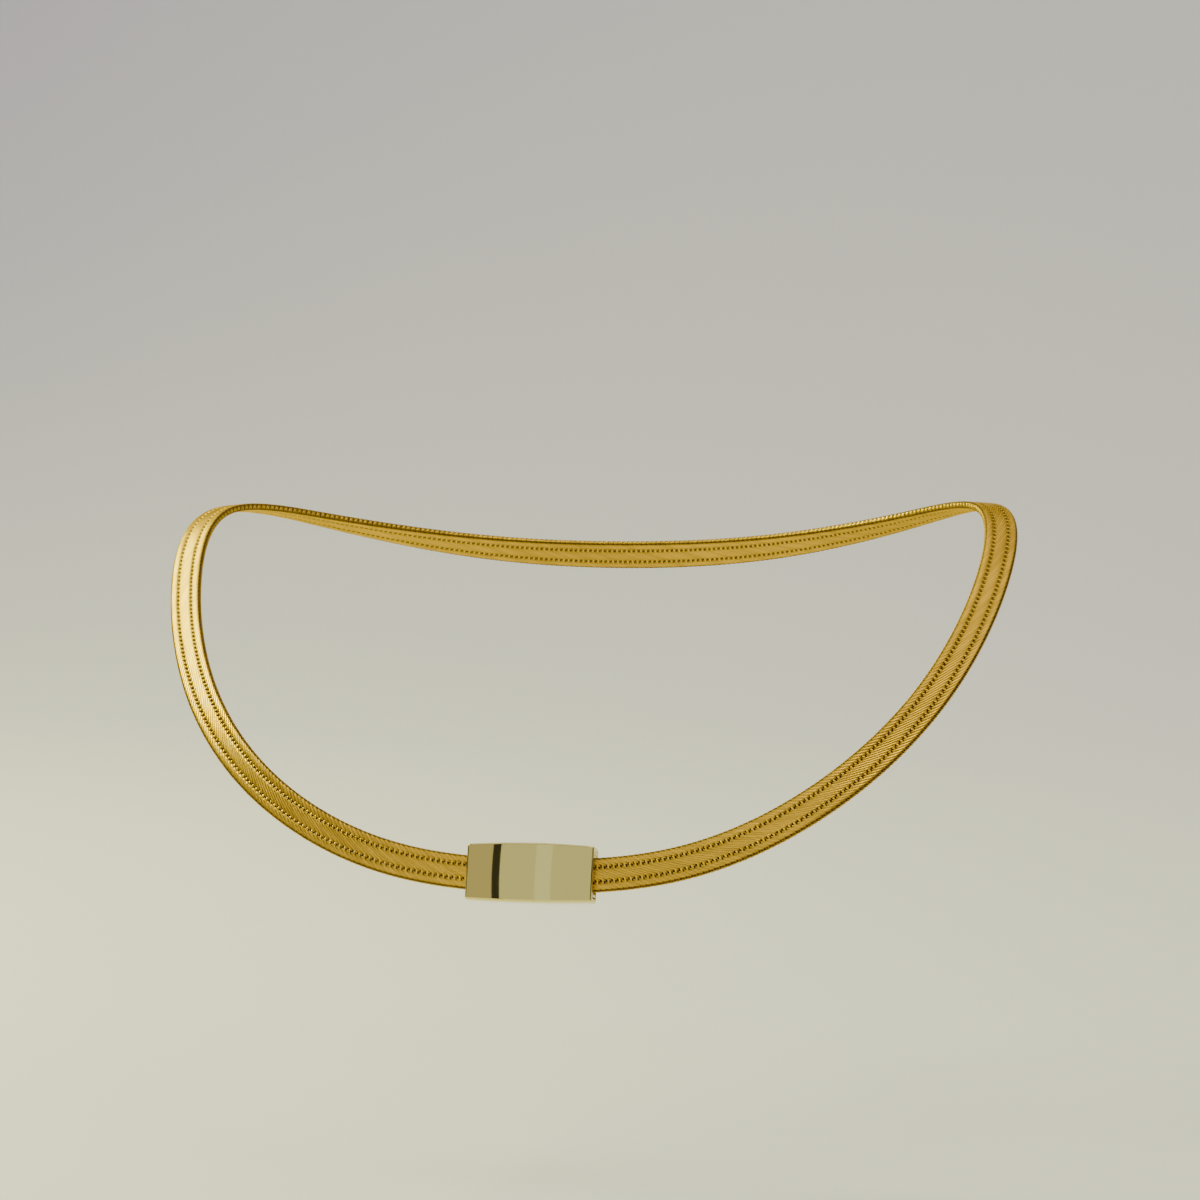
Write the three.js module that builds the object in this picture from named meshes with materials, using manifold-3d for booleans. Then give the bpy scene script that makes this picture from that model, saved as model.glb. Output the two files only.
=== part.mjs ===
// Collar choker: a flat knitted-wire band, closed at the front by a polished box clasp.
// Millimetres, +Z up, the front towards -Y, the origin on the band's inner face at the nape.
import * as THREE from 'three';
import { mergeVertices } from 'three/addons/utils/BufferGeometryUtils.js';
import Module from 'manifold-3d';

const wasm = await Module();
wasm.setup();

// Band: three pillowed strips side by side, with a groove between each two on both faces.
const BAND_WIDTH = 6.4;
const BAND_THICKNESS = 1.5;
const MIDDLE_STRIP_SHARE = 0.42;
const GROOVE_DEPTH = 0.18;
const EDGE_NOSE = 0.35;
const EDGE_HALF_THICKNESS = 0.6;
const BAND_STEPS = 80;

// Clasp: a curved box, open at its right end, and a tongue that fills it.
const CLASP_LENGTH = 24;
const CLASP_HEIGHT = 10.2;
const CLASP_DEPTH = 4;
const CLASP_CROWN = 0.35;
const CLASP_BOW_RADIUS = 110;
const CLASP_WALL = 0.7;
const CLASP_CORNER = 0.6;
const INNER_CORNER = 0.2;
const CORNER_STEPS = 3;
const CLASP_STEPS = 12;
const END_BLOCK = 5;
const BAND_INSERT = 3;
const SLOT_GAP = 0.45;
const FIT_GAP = 0.3;
const TONGUE_HEIGHT = 7;
const TONGUE_LENGTH = 13;
const TONGUE_SHEET = 0.5;
const TONGUE_SPREAD = 1.9;
const TONGUE_ROOT = 0.5;
const TONGUE_FOLD = 3;

// Cuts run this far past a face, and points this close together are one.
const CUT_PAST = 1;
const SAME_POINT = 1e-4;

// The loop as it is worn, one half, from the clasp round the shoulder to the nape. Each station
// pulls a closed cubic B-spline; lean tips the band's upper edge in towards the neck.
const STATIONS = [
  { place: 'clasp', side: 0, back: 0, up: -0.5, lean: 18 },
  { place: 'breast', side: 29.5, back: 0, up: 1.5, lean: 18 },
  { place: 'collarbone', side: 55, back: 5.5, up: 14, lean: 33 },
  { place: 'shoulder front', side: 73, back: 22, up: 31, lean: 52 },
  { place: 'shoulder slope', side: 82, back: 42, up: 51.5, lean: 75 },
  { place: 'shoulder ridge', side: 82, back: 59, up: 67, lean: 92 },
  { place: 'shoulder blade', side: 62, back: 74.5, up: 60, lean: 70 },
  { place: 'upper back', side: 32, back: 86, up: 53, lean: 38 },
  { place: 'nape', side: 0, back: 91, up: 51, lean: 24 },
];

const UP = new THREE.Vector3(0, 0, 1);

// The whole loop, starting at the clasp's middle and going round by +X.
class ChokerLoop extends THREE.Curve {
  constructor(stations) {
    super();
    const otherHalf = stations.slice(1, -1).reverse();
    const mirrored = otherHalf.map((s) => ({ ...s, side: -s.side }));
    this.pull = [...stations, ...mirrored];
    this.arcLengthDivisions = 1600;
  }

  blend(t, read) {
    const count = this.pull.length;
    const place = THREE.MathUtils.euclideanModulo(t, 1) * count;
    const first = Math.floor(place);
    const u = place - first;
    const v = 1 - u;
    const weights = [
      (v * v * v) / 6,
      (3 * u * u * u - 6 * u * u + 4) / 6,
      (3 * v * v * v - 6 * v * v + 4) / 6,
      (u * u * u) / 6,
    ];
    const near = weights.map((_, k) => read(this.pull[(first + k + count - 1) % count]));
    return weights.reduce((sum, weight, k) => sum + weight * near[k], 0);
  }

  getPoint(t, target = new THREE.Vector3()) {
    const x = this.blend(t, (s) => s.side);
    const y = this.blend(t, (s) => s.back);
    const z = this.blend(t, (s) => s.up);
    return target.set(x, y, z);
  }

  // Tangent, outward normal and the way across the band, at a share of the loop's length.
  frameAt(share) {
    const t = this.getUtoTmapping(share);
    const tangent = this.getTangent(t).normalize();
    const inward = new THREE.Vector3().crossVectors(UP, tangent).normalize();
    const upright = new THREE.Vector3().crossVectors(tangent, inward);
    const lean = THREE.MathUtils.degToRad(this.blend(t, (s) => s.lean));
    const across = upright.multiplyScalar(Math.cos(lean)).addScaledVector(inward, Math.sin(lean));
    const normal = new THREE.Vector3().crossVectors(tangent, across);
    return { tangent, normal, across };
  }
}

const loop = new ChokerLoop(STATIONS);
const LOOP_LENGTH = loop.getLength();
const nape = loop.getPointAt(0.5).addScaledVector(loop.frameAt(0.5).normal, -BAND_THICKNESS / 2);

// The band's own stretch of the loop, from its end in the tongue to its end in the clasp box.
class BandRoute extends THREE.Curve {
  constructor(endShare) {
    super();
    this.endShare = endShare;
    this.arcLengthDivisions = 800;
  }

  share(t) {
    return this.endShare + (1 - 2 * this.endShare) * t;
  }

  getPoint(t, target = new THREE.Vector3()) {
    return target.copy(loop.getPointAt(this.share(t)));
  }

  computeFrenetFrames(segments) {
    const steps = Array.from({ length: segments + 1 }, (_, i) => i / segments);
    const frames = steps.map((t) => loop.frameAt(this.share(t)));
    const tangents = frames.map((f) => f.tangent);
    const normals = frames.map((f) => f.normal);
    const binormals = frames.map((f) => f.across.negate());
    return { tangents, normals, binormals };
  }
}

// Half of the band's section, from the middle crest to the edge, as thickness and width.
function bandSection() {
  const half = BAND_THICKNESS / 2;
  const groove = (BAND_WIDTH * MIDDLE_STRIP_SHARE) / 2;
  const edge = BAND_WIDTH / 2;
  const quarter = [
    [half, 0],
    [half - GROOVE_DEPTH, groove],
    [EDGE_HALF_THICKNESS, edge - EDGE_NOSE],
    [0, edge],
  ];
  const right = [...quarter, ...quarter.slice(0, 3).reverse().map(([x, y]) => [-x, y])];
  const left = right.slice(1, -1).reverse().map(([x, y]) => [x, -y]);
  return new THREE.Shape([...right, ...left].map(([x, y]) => new THREE.Vector2(x, y)));
}

function bandGeometry() {
  const route = new BandRoute((CLASP_LENGTH / 2 - BAND_INSERT) / LOOP_LENGTH);
  return new THREE.ExtrudeGeometry(bandSection(), { steps: BAND_STEPS, extrudePath: route });
}

// A bar of the clasp from one place along it to another: height and depth across its middle.
// The bar bows out in plan and its height swells towards the clasp's middle.
function claspBar(from, to, height, depth, corner) {
  const h = height / 2 - corner;
  const d = depth / 2 - corner;
  const outline = new THREE.Shape();
  outline.absarc(d, h, corner, 0, Math.PI / 2);
  outline.absarc(-d, h, corner, Math.PI / 2, Math.PI);
  outline.absarc(-d, -h, corner, Math.PI, 1.5 * Math.PI);
  outline.absarc(d, -h, corner, 1.5 * Math.PI, 2 * Math.PI);
  const length = to - from;
  const bar = new THREE.ExtrudeGeometry(outline, {
    depth: length,
    steps: CLASP_STEPS,
    curveSegments: CORNER_STEPS,
    bevelEnabled: false,
  });
  // The outline's x is the depth and its y the height, extruded along z: turned so that the
  // length runs along x, the depth along y and the height along z.
  bar.applyMatrix4(new THREE.Matrix4().set(0, 0, 1, from, 1, 0, 0, 0, 0, 1, 0, 0, 0, 0, 0, 1));
  return bowed(bar, height);
}

function bowed(geometry, height) {
  const half = CLASP_LENGTH / 2;
  const position = geometry.attributes.position;
  for (let i = 0; i < position.count; i += 1) {
    const x = position.getX(i);
    const middle = 1 - (x * x) / (half * half);
    const swell = 1 + (2 * CLASP_CROWN * Math.max(middle, 0)) / height;
    position.setY(i, position.getY(i) - (middle * half * half) / (2 * CLASP_BOW_RADIUS));
    position.setZ(i, position.getZ(i) * swell);
  }
  return geometry;
}

function solid(geometry) {
  const bare = geometry.clone();
  bare.deleteAttribute('normal');
  bare.deleteAttribute('uv');
  const closed = mergeVertices(bare, SAME_POINT);
  const vertProperties = new Float32Array(closed.attributes.position.array);
  const triVerts = new Uint32Array(closed.index.array);
  return new wasm.Manifold(new wasm.Mesh({ numProp: 3, vertProperties, triVerts }));
}

function geometryOf(manifold) {
  const mesh = manifold.getMesh();
  const geometry = new THREE.BufferGeometry();
  geometry.setAttribute('position', new THREE.BufferAttribute(mesh.vertProperties, 3));
  geometry.setIndex(new THREE.BufferAttribute(mesh.triVerts, 1));
  geometry.computeVertexNormals();
  return geometry;
}

// The slot that a band end is soldered into, from one place along the clasp to another.
function bandSlot(from, to) {
  const height = BAND_WIDTH + 2 * SLOT_GAP;
  const depth = BAND_THICKNESS + 2 * SLOT_GAP;
  return solid(claspBar(from, to, height, depth, INNER_CORNER));
}

function claspBoxGeometry() {
  const half = CLASP_LENGTH / 2;
  const shell = solid(claspBar(-half, half, CLASP_HEIGHT, CLASP_DEPTH, CLASP_CORNER));
  const height = CLASP_HEIGHT - 2 * CLASP_WALL;
  const depth = CLASP_DEPTH - 2 * CLASP_WALL;
  const hollow = solid(claspBar(END_BLOCK - half, half + CUT_PAST, height, depth, INNER_CORNER));
  const slot = bandSlot(-half - CUT_PAST, BAND_INSERT + SLOT_GAP - half);
  return geometryOf(shell.subtract(hollow).subtract(slot));
}

// The tongue: a block that closes the mouth and a sheet folded back on itself as a spring.
function claspTongueGeometry() {
  const half = CLASP_LENGTH / 2;
  const blockHeight = CLASP_HEIGHT - 2 * CLASP_WALL - 2 * FIT_GAP;
  const blockDepth = CLASP_DEPTH - 2 * CLASP_WALL - 2 * FIT_GAP;
  const block = solid(claspBar(half - END_BLOCK, half, blockHeight, blockDepth, INNER_CORNER));
  const sheet = TONGUE_SHEET;
  const root = half - END_BLOCK + TONGUE_ROOT;
  const tip = root - TONGUE_LENGTH;
  const rear = TONGUE_SPREAD / 2;
  const leaf = new THREE.Shape();
  leaf.moveTo(root, rear - sheet);
  leaf.lineTo(root, rear);
  leaf.lineTo(tip, sheet / 2);
  leaf.lineTo(tip, -sheet / 2);
  leaf.lineTo(root - TONGUE_FOLD, -rear);
  leaf.lineTo(root - TONGUE_FOLD, sheet - rear);
  leaf.lineTo(tip + TONGUE_FOLD, 0);
  const spring = new THREE.ExtrudeGeometry(leaf, { depth: TONGUE_HEIGHT, bevelEnabled: false });
  spring.translate(0, 0, -TONGUE_HEIGHT / 2);
  const joined = block.add(solid(bowed(spring, TONGUE_HEIGHT)));
  return geometryOf(joined.subtract(bandSlot(half - BAND_INSERT - SLOT_GAP, half + CUT_PAST)));
}

function metal(color, roughness) {
  return new THREE.MeshStandardMaterial({ color, roughness, metalness: 1 });
}

function part(name, geometry, material) {
  const mesh = new THREE.Mesh(geometry, material);
  mesh.name = name;
  return mesh;
}

function clasp() {
  const group = new THREE.Group();
  const end = loop.getPointAt(CLASP_LENGTH / 2 / LOOP_LENGTH);
  group.position.set(0, end.y, end.z);
  group.rotation.x = -THREE.MathUtils.degToRad(STATIONS[0].lean);
  group.add(part('clasp_box', claspBoxGeometry(), metal(0xd8c27a, 0.08)));
  group.add(part('clasp_tongue', claspTongueGeometry(), metal(0xcfae5c, 0.25)));
  return group;
}

const choker = new THREE.Group();
choker.name = 'collar_choker';
choker.add(part('mesh_band', bandGeometry(), metal(0xc79a3c, 0.3)));
choker.add(clasp());
choker.position.copy(nape).negate();
choker.updateMatrixWorld(true);

export default choker;
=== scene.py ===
"""Collar choker: a flat band of knitted gold wire with a polished box clasp, in its worn shape.

The band is knitted flat, as ribs across both faces with knots along the two seams, and then
laid along the loop.
Lengths are in metres unless a name ends in _MM; a flat band has its length along x, its width
along y and its outer face towards +z.
"""

import math
import random

import bmesh
import bpy
import numpy as np
from mathutils import Matrix, Vector


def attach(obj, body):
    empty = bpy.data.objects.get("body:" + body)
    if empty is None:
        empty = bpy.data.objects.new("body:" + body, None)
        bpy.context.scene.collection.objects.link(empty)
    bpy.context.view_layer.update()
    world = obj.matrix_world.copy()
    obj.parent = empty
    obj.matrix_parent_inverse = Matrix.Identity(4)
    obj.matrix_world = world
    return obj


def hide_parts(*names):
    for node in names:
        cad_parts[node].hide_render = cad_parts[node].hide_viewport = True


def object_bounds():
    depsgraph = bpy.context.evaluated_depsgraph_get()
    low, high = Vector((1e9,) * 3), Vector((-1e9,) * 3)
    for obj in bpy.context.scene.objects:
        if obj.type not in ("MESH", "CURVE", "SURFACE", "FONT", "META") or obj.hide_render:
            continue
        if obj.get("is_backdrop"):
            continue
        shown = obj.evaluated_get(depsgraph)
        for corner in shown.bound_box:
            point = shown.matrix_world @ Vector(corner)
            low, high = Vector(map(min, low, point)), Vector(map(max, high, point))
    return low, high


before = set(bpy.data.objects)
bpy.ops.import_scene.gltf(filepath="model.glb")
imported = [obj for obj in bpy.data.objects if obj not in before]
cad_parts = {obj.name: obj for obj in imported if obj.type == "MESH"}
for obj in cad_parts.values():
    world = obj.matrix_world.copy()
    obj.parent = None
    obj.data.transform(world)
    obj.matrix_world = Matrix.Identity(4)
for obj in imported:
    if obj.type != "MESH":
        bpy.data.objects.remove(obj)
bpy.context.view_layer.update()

MM = 0.001

# The loop as it is worn, one half, in millimetres from the clasp round the shoulder to the
# nape. Each station pulls a closed cubic B-spline; lean tips the upper edge in to the neck.
STATIONS = (
    # place, side, back, up, lean in degrees
    ("clasp", 0, 0, -0.5, 18),
    ("breast", 29.5, 0, 1.5, 18),
    ("collarbone", 55, 5.5, 14, 33),
    ("shoulder front", 73, 22, 31, 52),
    ("shoulder slope", 82, 42, 51.5, 75),
    ("shoulder ridge", 82, 59, 67, 92),
    ("shoulder blade", 62, 74.5, 60, 70),
    ("upper back", 32, 86, 53, 38),
    ("nape", 0, 91, 51, 24),
)
LOOP_SAMPLES = 6400

# Band and clasp, as in the fixed frame.
BAND_WIDTH_MM = 6.4
BAND_THICKNESS_MM = 1.5
CLASP_LENGTH_MM = 24
CLASP_HEIGHT_MM = 10.2
CLASP_DEPTH_MM = 4
CLASP_CROWN_MM = 0.35
CLASP_BOW_RADIUS_MM = 110
CLASP_WALL_MM = 0.7
CLASP_EDGE_MM = 0.35
CLASP_EDGE_STEPS = 5
CLASP_CUTS = 24
CLASP_CUT_SHARE = 0.95
SINK_STEPS = 8
SINK_RIM_MM = 0.05
SLOT_GAP_MM = 0.45
END_BLOCK_MM = 5
CLASP_LEAN = math.radians(STATIONS[0][4])
BAND_INSERT_MM = 3

# Knitting: one rib starts at every pitch along the band.
PITCH_MM = 1.04
RIB_SIDES = 8
RIB_RISE_MM = 0.29
RIB_NOTCH_MM = 0.17
KNOT_DEPTH_MM = 0.48
KNOT_HALVES_MM = (0.26, 0.48, 0.28)
KNOT_SLANT = math.radians(25)
SEED = 7


def smooth(mesh):
    mesh.polygons.foreach_set("use_smooth", [True] * len(mesh.polygons))


# --- the loop ----------------------------------------------------------------------------


def spline_weights(u):
    v = 1 - u
    return (
        v**3 / 6,
        (3 * u**3 - 6 * u**2 + 4) / 6,
        (3 * v**3 - 6 * v**2 + 4) / 6,
        u**3 / 6,
    )


class Loop:
    """The band's centre line with its outward normal and its way across, by length."""

    def __init__(self):
        half = [row[1:] for row in STATIONS]
        other = [(-side, back, up, lean) for side, back, up, lean in half[-2:0:-1]]
        pull = np.array(half + other, float)
        count = len(pull)
        place = np.linspace(0, count, LOOP_SAMPLES + 1)
        first = np.floor(place).astype(int)
        weights = spline_weights(place - first)
        parts = [w[:, None] * pull[(first + k - 1) % count] for k, w in enumerate(weights)]
        rows = sum(parts)
        centre = rows[:, :3]
        steps = np.linalg.norm(np.diff(centre, axis=0), axis=1)
        self.run = np.concatenate([[0], np.cumsum(steps)])
        self.length = self.run[-1]
        ahead = np.gradient(centre, axis=0)
        ahead[0] = ahead[-1] = (centre[1] - centre[-2]) / 2
        tangent = ahead / np.linalg.norm(ahead, axis=1)[:, None]
        inward = np.cross((0, 0, 1), tangent)
        inward /= np.linalg.norm(inward, axis=1)[:, None]
        upright = np.cross(tangent, inward)
        lean = np.radians(rows[:, 3])[:, None]
        self.across = np.cos(lean) * upright + np.sin(lean) * inward
        self.normal = np.cross(tangent, self.across)
        nape = LOOP_SAMPLES // 2
        self.origin = centre[nape] - self.normal[nape] * BAND_THICKNESS_MM / 2
        self.centre = centre - self.origin

    def at(self, run, rows):
        return np.stack([np.interp(run, self.run, rows[:, k]) for k in range(3)], axis=1)

    def lay(self, flat):
        """Places of a flat band's points, in metres, once it lies along the loop."""
        run = flat[:, 0] / MM
        centre = self.at(run, self.centre) * MM
        across = self.at(run, self.across) * flat[:, 1:2]
        return centre + across + self.at(run, self.normal) * flat[:, 2:3]


loop = Loop()
BAND_START_MM = CLASP_LENGTH_MM / 2 - BAND_INSERT_MM
BAND_END_MM = loop.length - BAND_START_MM


# --- mesh helpers ------------------------------------------------------------------------


def new_object(name, mesh):
    piece = bpy.data.objects.new(name, mesh)
    bpy.context.scene.collection.objects.link(piece)
    return piece


def mesh_from(bm, name):
    mesh = bpy.data.meshes.new(name)
    bm.to_mesh(mesh)
    bm.free()
    return mesh


def points_of(mesh):
    points = np.empty(len(mesh.vertices) * 3)
    mesh.vertices.foreach_get("co", points)
    return points.reshape(-1, 3)


def move_points(mesh, points):
    mesh.vertices.foreach_set("co", points.astype(np.float32).ravel())
    mesh.update()


def point_values(mesh, name, values):
    layer = mesh.attributes.new(name, "FLOAT", "POINT")
    layer.data.foreach_set("value", np.asarray(values, np.float32))


# --- the knitted ribs --------------------------------------------------------------------

# Half of one rib across a face, from the edge to the band's middle. It slants through the side
# strip, dips under the seam and slants less steeply through half of the middle strip. The
# other half is the same, turned about the middle.
SEAM_RUN = 3.47
SEAM_ACROSS_MM = 1.34
MIDDLE_RUN = 6.43
HALF_RIB = (
    # run in pitches, across, depth, half width in millimetres, facing in degrees
    (0.00, 3.00, 0.00, 0.340, 0),
    (0.20, 2.97, 0.20, 0.335, 22),
    (0.46, 2.88, 0.37, 0.320, 45),
    (0.80, 2.75, 0.48, 0.290, 68),
    (1.20, 2.57, 0.53, 0.262, 84),
    (1.85, 2.23, 0.545, 0.250, 90),
    (2.55, 1.85, 0.53, 0.245, 90),
    (2.99, 1.61, 0.50, 0.230, 90),
    (3.23, 1.475, 0.30, 0.205, 90),
    (SEAM_RUN, SEAM_ACROSS_MM, 0.12, 0.200, 90),
    (3.73, 1.22, 0.30, 0.200, 90),
    (4.03, 1.09, 0.50, 0.202, 90),
    (4.70, 0.784, 0.535, 0.205, 90),
)
OTHER_HALF = [
    (2 * MIDDLE_RUN - run, -across, depth, half_width, 180 - facing)
    for run, across, depth, half_width, facing in reversed(HALF_RIB)
]
RIB_STATIONS = [*HALF_RIB, (MIDDLE_RUN, 0, 0.545, 0.205, 90), *OTHER_HALF]
HALF_TURN = RIB_STATIONS[-1][0]


def rib_unit():
    """One rib across the outer face: a ring at each station, bridged to the one before."""
    centres = [
        Vector((run * PITCH_MM, across, depth)) * MM for run, across, depth, _, _ in RIB_STATIONS
    ]
    last = len(centres) - 1
    bm = bmesh.new()
    before = []
    for k, (_, _, _, half_width, facing) in enumerate(RIB_STATIONS):
        along = (centres[min(k + 1, last)] - centres[max(k - 1, 0)]).normalized()
        turn = math.radians(facing)
        side = along.cross(Vector((0, math.cos(turn), math.sin(turn)))).normalized()
        out = side.cross(along)
        place = Matrix.Translation(centres[k]) @ Matrix((side, out, along)).transposed().to_4x4()
        size = Matrix.Diagonal((half_width * MM, RIB_RISE_MM * MM, 1, 1))
        ring = bmesh.ops.create_circle(
            bm, segments=RIB_SIDES, radius=1, cap_ends=k in (0, last), matrix=place @ size
        )["verts"]
        crest = max(ring, key=lambda v: v.co.dot(out))
        bmesh.ops.translate(bm, verts=[crest], vec=out * -RIB_NOTCH_MM * MM)
        edges = list({e for v in ring for e in v.link_edges})
        if before:
            bmesh.ops.bridge_loops(bm, edges=before + edges)
        before = edges
    bmesh.ops.recalc_face_normals(bm, faces=bm.faces)
    return bm


def knot_unit():
    """The two knots of one course, one on each seam, sitting in its groove over the rib."""
    bm = bmesh.new()
    for row in (1, -1):
        run = MIDDLE_RUN - row * (MIDDLE_RUN - SEAM_RUN)
        place = Matrix.Translation(
            Vector((run * PITCH_MM, row * SEAM_ACROSS_MM, KNOT_DEPTH_MM)) * MM
        )
        turn = Matrix.Rotation(KNOT_SLANT, 4, "Z")
        size = Matrix.Diagonal([half * MM for half in KNOT_HALVES_MM] + [1])
        bmesh.ops.create_uvsphere(
            bm, u_segments=8, v_segments=5, radius=1, matrix=place @ turn @ size
        )
    return bm


def knit(name, unit_of, inner, first, last):
    """One face's ribs or knots, from one course to another, cut to the band and laid."""
    bm = unit_of()
    if inner:
        bmesh.ops.rotate(bm, verts=bm.verts, matrix=Matrix.Rotation(math.pi, 3, "X"))
        bmesh.ops.translate(bm, verts=bm.verts, vec=(HALF_TURN * PITCH_MM * MM, 0, 0))
    unit = mesh_from(bm, name)
    size = len(unit.vertices)
    courses = new_object(name, unit)
    row = courses.modifiers.new("courses", "ARRAY")
    row.count = last - first
    row.use_relative_offset = False
    row.use_constant_offset = True
    row.constant_offset_displace = (PITCH_MM * MM, 0, 0)
    shown = courses.evaluated_get(bpy.context.evaluated_depsgraph_get())
    mesh = bpy.data.meshes.new_from_object(shown)
    bpy.data.objects.remove(courses)
    points = points_of(mesh)
    points[:, 0] += (BAND_START_MM + first * PITCH_MM) * MM
    move_points(mesh, points)
    draw = random.Random(f"{SEED} {name}")
    tints = np.array([draw.random() for _ in range(last - first)])
    point_values(mesh, "wire_tint", np.repeat(tints, size))
    trim(mesh)
    return finish_band_piece(name, mesh)


def trim(mesh):
    """Cuts the ribs off square at both ends of the band and closes the cuts."""
    bm = bmesh.new()
    bm.from_mesh(mesh)
    for place, way in ((BAND_START_MM, -1), (BAND_END_MM, 1)):
        cut = bmesh.ops.bisect_plane(
            bm,
            geom=bm.verts[:] + bm.edges[:] + bm.faces[:],
            plane_co=(place * MM, 0, 0),
            plane_no=(way, 0, 0),
            clear_outer=True,
        )
        edges = [part for part in cut["geom_cut"] if isinstance(part, bmesh.types.BMEdge)]
        if edges:
            bmesh.ops.holes_fill(bm, edges=edges, sides=0)
    bm.to_mesh(mesh)
    bm.free()


def finish_band_piece(name, mesh):
    """Keeps the flat places as a map and the depth below the surface, then lays the piece."""
    flat = points_of(mesh)
    surface = BAND_THICKNESS_MM / 2 * MM
    edge = BAND_WIDTH_MM / 2 * MM
    # The depth below the surface is kept to drive the painted shade in the grooves and seams.
    below = np.minimum(surface - np.abs(flat[:, 2]), edge - np.abs(flat[:, 1]))
    point_values(mesh, "below", np.clip(below / MM, 0, 1))
    corners = np.empty(len(mesh.loops), np.int32)
    mesh.loops.foreach_get("vertex_index", corners)
    strip = mesh.uv_layers.new(name="band")
    strip.uv.foreach_set("vector", (flat[corners, :2] / MM).astype(np.float32).ravel())
    move_points(mesh, loop.lay(flat))
    smooth(mesh)
    return new_object(name, mesh)


COURSES = math.ceil((BAND_END_MM - BAND_START_MM) / PITCH_MM)
SPARE = math.ceil(HALF_TURN)


# --- the clasp ---------------------------------------------------------------------------


def bow(flat):
    """A straight clasp's points, in millimetres, bowed out in plan and crowned in height."""
    half = CLASP_LENGTH_MM / 2
    middle = 1 - (flat[:, 0] / half) ** 2
    swell = 2 * CLASP_CROWN_MM * np.clip(middle, 0, None) / CLASP_HEIGHT_MM
    bent = flat.copy()
    bent[:, 1] -= middle * half * half / (2 * CLASP_BOW_RADIUS_MM)
    bent[:, 2] *= 1 + swell
    return bent


def clasp_place():
    end = loop.at(np.array([CLASP_LENGTH_MM / 2]), loop.centre)[0] * MM
    return Matrix.Translation((0, end[1], end[2])) @ Matrix.Rotation(-CLASP_LEAN, 4, "X")


def clasp_shell():
    """The box with rounded edges, cut across so that it bends, and sunk in at both ends."""
    bm = bmesh.new()
    bmesh.ops.create_cube(bm, size=1)
    size = (CLASP_LENGTH_MM, CLASP_DEPTH_MM, CLASP_HEIGHT_MM)
    bmesh.ops.scale(bm, verts=bm.verts, vec=size)
    bmesh.ops.bevel(
        bm, geom=bm.edges[:], offset=CLASP_EDGE_MM, offset_type="OFFSET", affect="EDGES",
        segments=CLASP_EDGE_STEPS, profile=0.5, material=-1,
    )
    for cut in range(1, CLASP_CUTS):
        place = (cut / CLASP_CUTS - 0.5) * CLASP_CUT_SHARE * CLASP_LENGTH_MM
        bmesh.ops.bisect_plane(
            bm, geom=bm.verts[:] + bm.edges[:] + bm.faces[:],
            plane_co=(place, 0, 0), plane_no=(1, 0, 0),
        )
    slot_height = BAND_WIDTH_MM + 2 * SLOT_GAP_MM
    slot_depth = BAND_THICKNESS_MM + 2 * SLOT_GAP_MM
    sink(bm, -1, slot_height, slot_depth, BAND_INSERT_MM + SLOT_GAP_MM)
    inner_height = CLASP_HEIGHT_MM - 2 * CLASP_WALL_MM
    inner_depth = CLASP_DEPTH_MM - 2 * CLASP_WALL_MM
    sink(bm, 1, inner_height, inner_depth, CLASP_LENGTH_MM - END_BLOCK_MM)
    bmesh.ops.recalc_face_normals(bm, faces=bm.faces)
    mesh = mesh_from(bm, "clasp_shell")
    move_points(mesh, bow(points_of(mesh)) * MM)
    mesh.transform(clasp_place())
    smooth(mesh)
    return new_object("clasp_shell", mesh)


def sink(bm, side, height, depth, reach):
    """Sinks the slot for the band, or the box's whole hollow, into the end on one side."""
    end = max(bm.faces, key=lambda f: side * f.calc_center_median().x)
    flat_depth = CLASP_DEPTH_MM - 2 * CLASP_EDGE_MM
    flat_height = CLASP_HEIGHT_MM - 2 * CLASP_EDGE_MM
    bmesh.ops.inset_individual(bm, faces=[end], thickness=SINK_RIM_MM)
    deep, high = flat_depth - 2 * SINK_RIM_MM, flat_height - 2 * SINK_RIM_MM
    fit = (1, depth / deep, height / high)
    bmesh.ops.scale(bm, verts=end.verts, vec=fit)
    floor = end
    step = reach / SINK_STEPS
    for _ in range(SINK_STEPS):
        floor = bmesh.ops.extrude_discrete_faces(bm, faces=[floor])["faces"][0]
        bmesh.ops.translate(bm, verts=floor.verts, vec=(-side * step, 0, 0))


# --- finishes ----------------------------------------------------------------------------


def nodes_of(material):
    material.use_nodes = True
    return material.node_tree.nodes, material.node_tree.links


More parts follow.
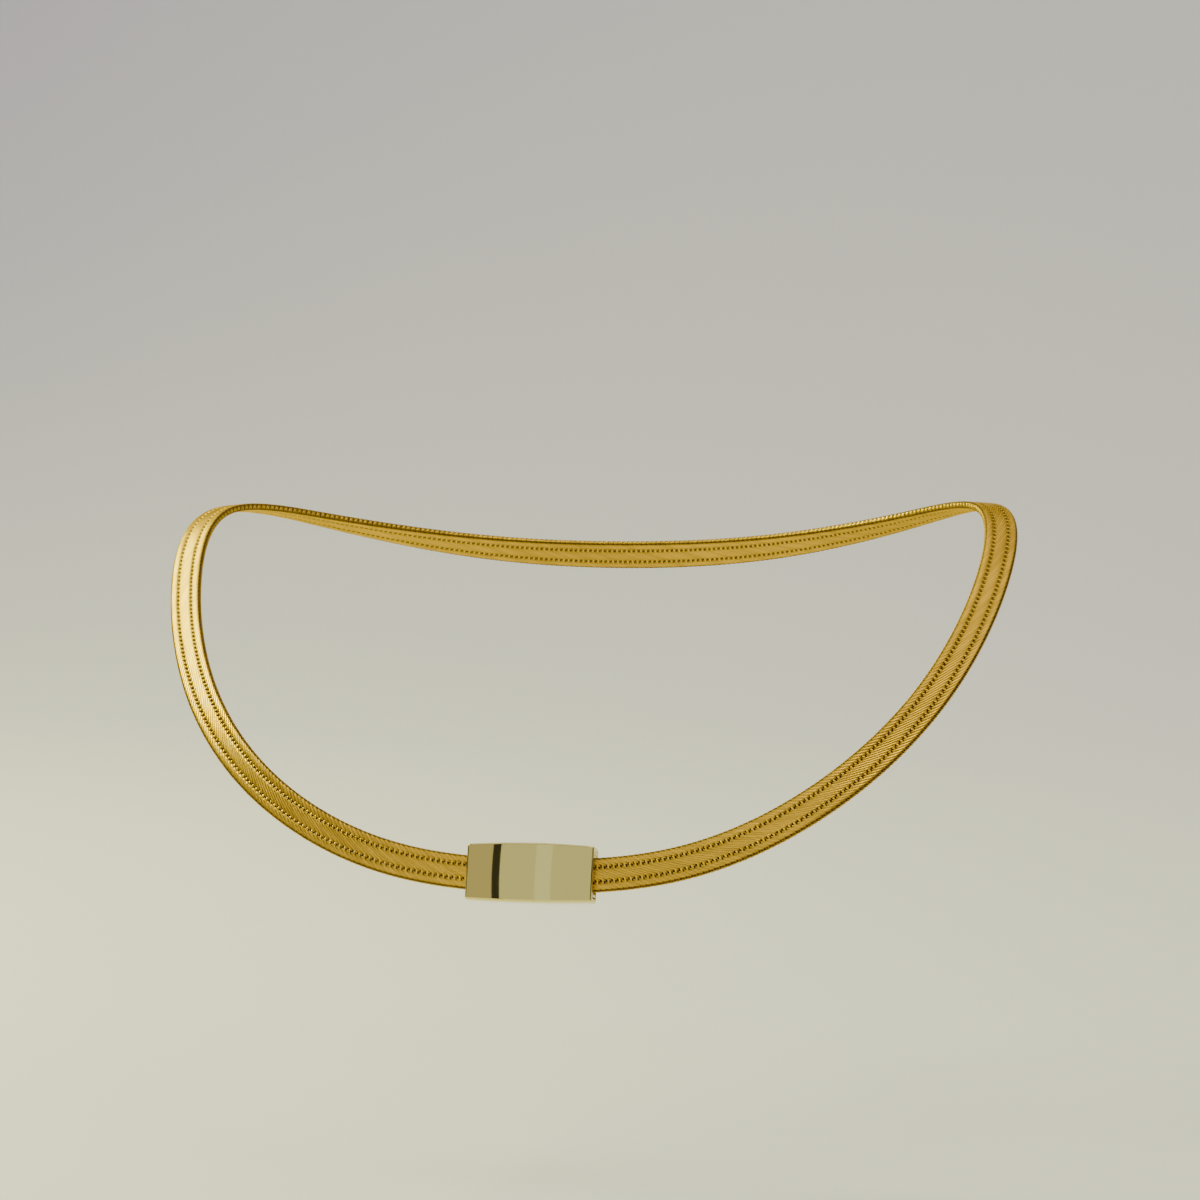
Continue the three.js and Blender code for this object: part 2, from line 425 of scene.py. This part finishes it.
def tone_group():
    """Slow shifts of tone over a metal and a painted shade, a darker colour, down in its
    grooves.
    """
    group = bpy.data.node_groups.new("gold_tone", "ShaderNodeTree")
    face = group.interface
    for name, kind, value in (
        ("Bright", "NodeSocketColor", (1, 1, 1, 1)),
        ("Painted Shade", "NodeSocketColor", (0.2, 0.1, 0.02, 1)),
        ("Shade Amount", "NodeSocketFloat", 0.0),
        ("Tint", "NodeSocketFloat", 0.5),
        ("Patch Scale", "NodeSocketFloat", 60.0),
        ("Patch Amount", "NodeSocketFloat", 0.15),
    ):
        socket = face.new_socket(name, in_out="INPUT", socket_type=kind)
        socket.default_value = value
    face.new_socket("Color", in_out="OUTPUT", socket_type="NodeSocketColor")
    nodes, links = group.nodes, group.links
    put_in = nodes.new("NodeGroupInput")
    put_out = nodes.new("NodeGroupOutput")
    place = nodes.new("ShaderNodeTexCoord")
    patches = nodes.new("ShaderNodeTexNoise")
    patches.inputs["Detail"].default_value = 3
    links.new(place.outputs["Object"], patches.inputs["Vector"])
    links.new(put_in.outputs["Patch Scale"], patches.inputs["Scale"])
    shift = nodes.new("ShaderNodeMath")
    shift.operation = "ADD"
    links.new(patches.outputs["Fac"], shift.inputs[0])
    links.new(put_in.outputs["Tint"], shift.inputs[1])
    level = nodes.new("ShaderNodeMath")
    level.operation = "SUBTRACT"
    level.inputs[1].default_value = 1.0
    links.new(shift.outputs[0], level.inputs[0])
    amount = nodes.new("ShaderNodeMath")
    amount.operation = "MULTIPLY_ADD"
    amount.inputs[2].default_value = 1.0
    links.new(level.outputs[0], amount.inputs[0])
    links.new(put_in.outputs["Patch Amount"], amount.inputs[1])
    toned = nodes.new("ShaderNodeHueSaturation")
    links.new(put_in.outputs["Bright"], toned.inputs["Color"])
    links.new(amount.outputs[0], toned.inputs["Value"])
    # Mixes in the painted shade colour by the shade amount.
    mixed = nodes.new("ShaderNodeMix")
    mixed.data_type = "RGBA"
    links.new(put_in.outputs["Shade Amount"], mixed.inputs["Factor"])
    links.new(toned.outputs["Color"], mixed.inputs["A"])
    links.new(put_in.outputs["Painted Shade"], mixed.inputs["B"])
    links.new(mixed.outputs["Result"], put_out.inputs["Color"])
    return group


GOLD_TONE = tone_group()


def group_node(nodes, group, values):
    node = nodes.new("ShaderNodeGroup")
    node.node_tree = group
    for name, value in values.items():
        node.inputs[name].default_value = value
    return node


def attribute(nodes, name):
    node = nodes.new("ShaderNodeAttribute")
    node.attribute_name = name
    return node


def wire_gold():
    """Knitted wire: bright on the crowns, with a painted shade, dark brown to black and not
    metal, where it sinks into the grooves and seams.
    """
    material = bpy.data.materials.new("knitted_gold")
    nodes, links = nodes_of(material)
    shader = nodes["Principled BSDF"]
    shader.inputs["Specular Tint"].default_value = (1.0, 0.86, 0.38, 1)
    shader.inputs["Specular IOR Level"].default_value = 0.1
    # Painted shade: the deeper a point lies below the surface, the more the wire turns from gold
    # metal to a near-black non-metal, standing in for the shade in the grooves and seam holes.
    sunk = nodes.new("ShaderNodeMapRange")
    sunk.inputs["From Min"].default_value = 0.04
    sunk.inputs["From Max"].default_value = 0.15
    links.new(attribute(nodes, "below").outputs["Fac"], sunk.inputs["Value"])
    metal_outside_shade = nodes.new("ShaderNodeMath")
    metal_outside_shade.operation = "SUBTRACT"
    metal_outside_shade.inputs[0].default_value = 1.0
    links.new(sunk.outputs["Result"], metal_outside_shade.inputs[1])
    links.new(metal_outside_shade.outputs[0], shader.inputs["Metallic"])
    tone = group_node(nodes, GOLD_TONE, {
        "Bright": (0.84, 0.51, 0.045, 1),
        # Near-black colour of the painted shade in the grooves and seams.
        "Painted Shade": (0.03, 0.010, 0.001, 1),
        "Patch Scale": 90.0,
        "Patch Amount": 0.22,
    })
    links.new(sunk.outputs["Result"], tone.inputs["Shade Amount"])
    links.new(attribute(nodes, "wire_tint").outputs["Fac"], tone.inputs["Tint"])
    links.new(tone.outputs["Color"], shader.inputs["Base Color"])
    place = nodes.new("ShaderNodeUVMap")
    place.uv_map = "band"
    fine = nodes.new("ShaderNodeTexNoise")
    fine.inputs["Scale"].default_value = 9.0
    fine.inputs["Detail"].default_value = 4
    links.new(place.outputs["UV"], fine.inputs["Vector"])
    rough = nodes.new("ShaderNodeMapRange")
    rough.inputs["To Min"].default_value = 0.28
    rough.inputs["To Max"].default_value = 0.33
    links.new(fine.outputs["Fac"], rough.inputs["Value"])
    links.new(rough.outputs["Result"], shader.inputs["Roughness"])
    return material


def polished_gold():
    material = bpy.data.materials.new("polished_gold")
    nodes, links = nodes_of(material)
    shader = nodes["Principled BSDF"]
    shader.inputs["Metallic"].default_value = 1.0
    tone = group_node(nodes, GOLD_TONE, {
        "Bright": (0.68, 0.58, 0.18, 1),
        "Painted Shade": (0.45, 0.34, 0.10, 1),
        "Patch Scale": 40.0,
        "Patch Amount": 0.05,
    })
    links.new(tone.outputs["Color"], shader.inputs["Base Color"])
    place = nodes.new("ShaderNodeTexCoord")
    haze = nodes.new("ShaderNodeTexNoise")
    haze.inputs["Scale"].default_value = 300.0
    links.new(place.outputs["Object"], haze.inputs["Vector"])
    rough = nodes.new("ShaderNodeMapRange")
    rough.inputs["To Min"].default_value = 0.015
    rough.inputs["To Max"].default_value = 0.035
    links.new(haze.outputs["Fac"], rough.inputs["Value"])
    links.new(rough.outputs["Result"], shader.inputs["Roughness"])
    return material


# --- build -------------------------------------------------------------------------------

WIRE = wire_gold()
POLISHED = polished_gold()
MIDDLE = COURSES // 2

band_pieces = []
for face, inner in (("outer", False), ("inner", True)):
    band_pieces.append(knit(f"ribs_{face}_right", rib_unit, inner, -2 * SPARE, MIDDLE))
    band_pieces.append(knit(f"ribs_{face}_left", rib_unit, inner, MIDDLE, COURSES + 1))
    band_pieces.append(knit(f"seam_knots_{face}", knot_unit, inner, -2 * SPARE, COURSES + 1))
for piece in band_pieces:
    piece.data.materials.append(WIRE)
    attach(piece, "root")
    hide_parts("mesh_band")

shell = clasp_shell()
shell.data.materials.append(POLISHED)
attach(shell, "root")
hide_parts("clasp_box")

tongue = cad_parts["clasp_tongue"]
tongue.data.materials.clear()
tongue.data.materials.append(POLISHED)


# --- studio ------------------------------------------------------------------------------

CAMERA_AZIMUTH = math.radians(13.0)
CAMERA_ELEVATION = math.radians(5.7)
CAMERA_ROLL = math.radians(-1.1)
CAMERA_DISTANCE = 0.6
FRAME_WIDTH = 0.2208
AIM_RIGHT = 0.0126
AIM_UP = 0.0508
FLOOR_DROP = 0.055
SWEEP_START = 0.5
SWEEP_BEND = 1.0
SWEEP_REACH = 3.0


def camera_axes():
    right = Vector((math.cos(CAMERA_AZIMUTH), math.sin(CAMERA_AZIMUTH), 0))
    flat = Vector((-math.sin(CAMERA_AZIMUTH), math.cos(CAMERA_AZIMUTH), 0))
    ahead = flat * math.cos(CAMERA_ELEVATION) - Vector((0, 0, math.sin(CAMERA_ELEVATION)))
    up = right.cross(ahead)
    c, s = math.cos(CAMERA_ROLL), math.sin(CAMERA_ROLL)
    return right * c + up * s, up * c - right * s, ahead


def add_camera():
    right, up, ahead = camera_axes()
    front = Vector(loop.centre[0]) * MM
    aim = front + right * AIM_RIGHT + up * AIM_UP
    data = bpy.data.cameras.new("camera")
    data.sensor_width = 36
    data.lens = data.sensor_width * CAMERA_DISTANCE / FRAME_WIDTH
    data.clip_start = 0.01
    camera = bpy.data.objects.new("camera", data)
    turn = Matrix((right, up, -ahead)).transposed().to_4x4()
    camera.matrix_world = Matrix.Translation(aim - ahead * CAMERA_DISTANCE) @ turn
    bpy.context.scene.collection.objects.link(camera)
    bpy.context.scene.camera = camera


def paper():
    """Matt pale paper with a faint unevenness of tone."""
    material = bpy.data.materials.new("paper")
    nodes, links = nodes_of(material)
    shader = nodes["Principled BSDF"]
    shader.inputs["Roughness"].default_value = 0.9
    shader.inputs["Specular IOR Level"].default_value = 0.2
    tone = group_node(nodes, GOLD_TONE, {
        "Bright": (0.86, 0.83, 0.86, 1),
        "Patch Scale": 3.0,
        "Patch Amount": 0.03,
    })
    links.new(tone.outputs["Color"], shader.inputs["Base Color"])
    return material


def add_sweep():
    """A plain pale floor that curves up into a backdrop far behind."""
    bm = bmesh.new()
    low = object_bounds()[0].z - FLOOR_DROP
    bmesh.ops.create_grid(bm, x_segments=1, y_segments=1, size=SWEEP_REACH)
    bmesh.ops.translate(bm, verts=bm.verts, vec=(0, SWEEP_START - SWEEP_REACH, low))
    back = [e for e in bm.edges if all(v.co.y > SWEEP_START - 0.01 for v in e.verts)]
    bent = bmesh.ops.spin(
        bm, geom=back, cent=(0, SWEEP_START, low + SWEEP_BEND), axis=(1, 0, 0),
        angle=math.radians(90), steps=32, use_merge=False,
    )
    top = [part for part in bent["geom_last"] if isinstance(part, bmesh.types.BMEdge)]
    raised = bmesh.ops.extrude_edge_only(bm, edges=top)["geom"]
    verts = [part for part in raised if isinstance(part, bmesh.types.BMVert)]
    bmesh.ops.translate(bm, verts=verts, vec=(0, 0, SWEEP_BEND))
    bmesh.ops.recalc_face_normals(bm, faces=bm.faces)
    floor = new_object("floor", mesh_from(bm, "floor"))
    smooth(floor.data)
    floor.data.materials.append(paper())
    floor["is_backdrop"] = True


def add_panel(name, bearing, height, distance, left, right, tall, glow, colour):
    """A soft box square to its line from the clasp, from its left to its right edge."""
    turn, rise = math.radians(bearing), math.radians(height)
    ahead = Vector((math.sin(turn), -math.cos(turn), 0))
    way = ahead * math.cos(rise) + Vector((0, 0, math.sin(rise)))
    sideways = Vector((math.cos(turn), math.sin(turn), 0))
    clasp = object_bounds()[0] * Vector((0, 1, 1))
    data = bpy.data.lights.new(name, "AREA")
    data.shape = "RECTANGLE"
    data.size, data.size_y = right - left, tall
    data.energy = glow * math.pi * data.size * data.size_y
    data.color = colour
    lamp = bpy.data.objects.new(name, data)
    lamp.visible_camera = False
    place = clasp + way * distance + sideways * (left + right) / 2
    turned = way.to_track_quat("Z", "Y").to_matrix().to_4x4()
    lamp.matrix_world = Matrix.Translation(place) @ turned
    bpy.context.scene.collection.objects.link(lamp)


# Soft boxes: bearing from the front and height above the clasp in degrees, distance, left and
# right edge and tallness in metres, brightness and colour.
PANELS = (
    ("front", 0, 25, 1.0, -0.378, 0.35, 1.0, 0.80, (0.98, 1.0, 0.97)),
    ("front_core", 0, 25, 0.99, -0.220, -0.155, 1.0, 0.30, (0.45, 0.65, 1.0)),
    ("side", 0, 25, 1.0, -0.80, -0.415, 1.0, 0.60, (1.0, 0.92, 0.78)),
    ("key", -98, 42, 0.9, -0.20, 0.20, 0.36, 25.0, (0.90, 1.0, 0.32)),
    ("top", 40, 75, 1.0, -0.12, 0.12, 0.24, 6.5, (1.0, 1.0, 0.7)),
    ("right", 62, 35, 1.0, -0.2, 0.2, 0.5, 0.8, (1.0, 0.95, 0.8)),
    ("above", 180, 85, 3.2, -2.0, 2.0, 4.0, 1.3, (0.98, 0.91, 1.0)),
)


def add_light():
    """The soft boxes, in a room that is pale at its horizon and dim above."""
    world = bpy.data.worlds.new("studio")
    world.use_nodes = True
    nodes, links = world.node_tree.nodes, world.node_tree.links
    way = nodes.new("ShaderNodeTexCoord")
    parts = nodes.new("ShaderNodeSeparateXYZ")
    links.new(way.outputs["Generated"], parts.inputs["Vector"])
    walls = nodes.new("ShaderNodeMapRange")
    walls.interpolation_type = "SMOOTHSTEP"
    walls.inputs["From Min"].default_value = 0.10
    walls.inputs["From Max"].default_value = 0.24
    walls.inputs["To Min"].default_value = 0.62
    walls.inputs["To Max"].default_value = 0.05
    links.new(parts.outputs["Z"], walls.inputs["Value"])
    links.new(walls.outputs["Result"], nodes["Background"].inputs["Strength"])
    nodes["Background"].inputs["Color"].default_value = (0.97, 0.98, 1.0, 1)
    bpy.context.scene.world = world
    for row in PANELS:
        add_panel(*row)


add_camera()
add_sweep()
add_light()

bpy.context.view_layer.update()
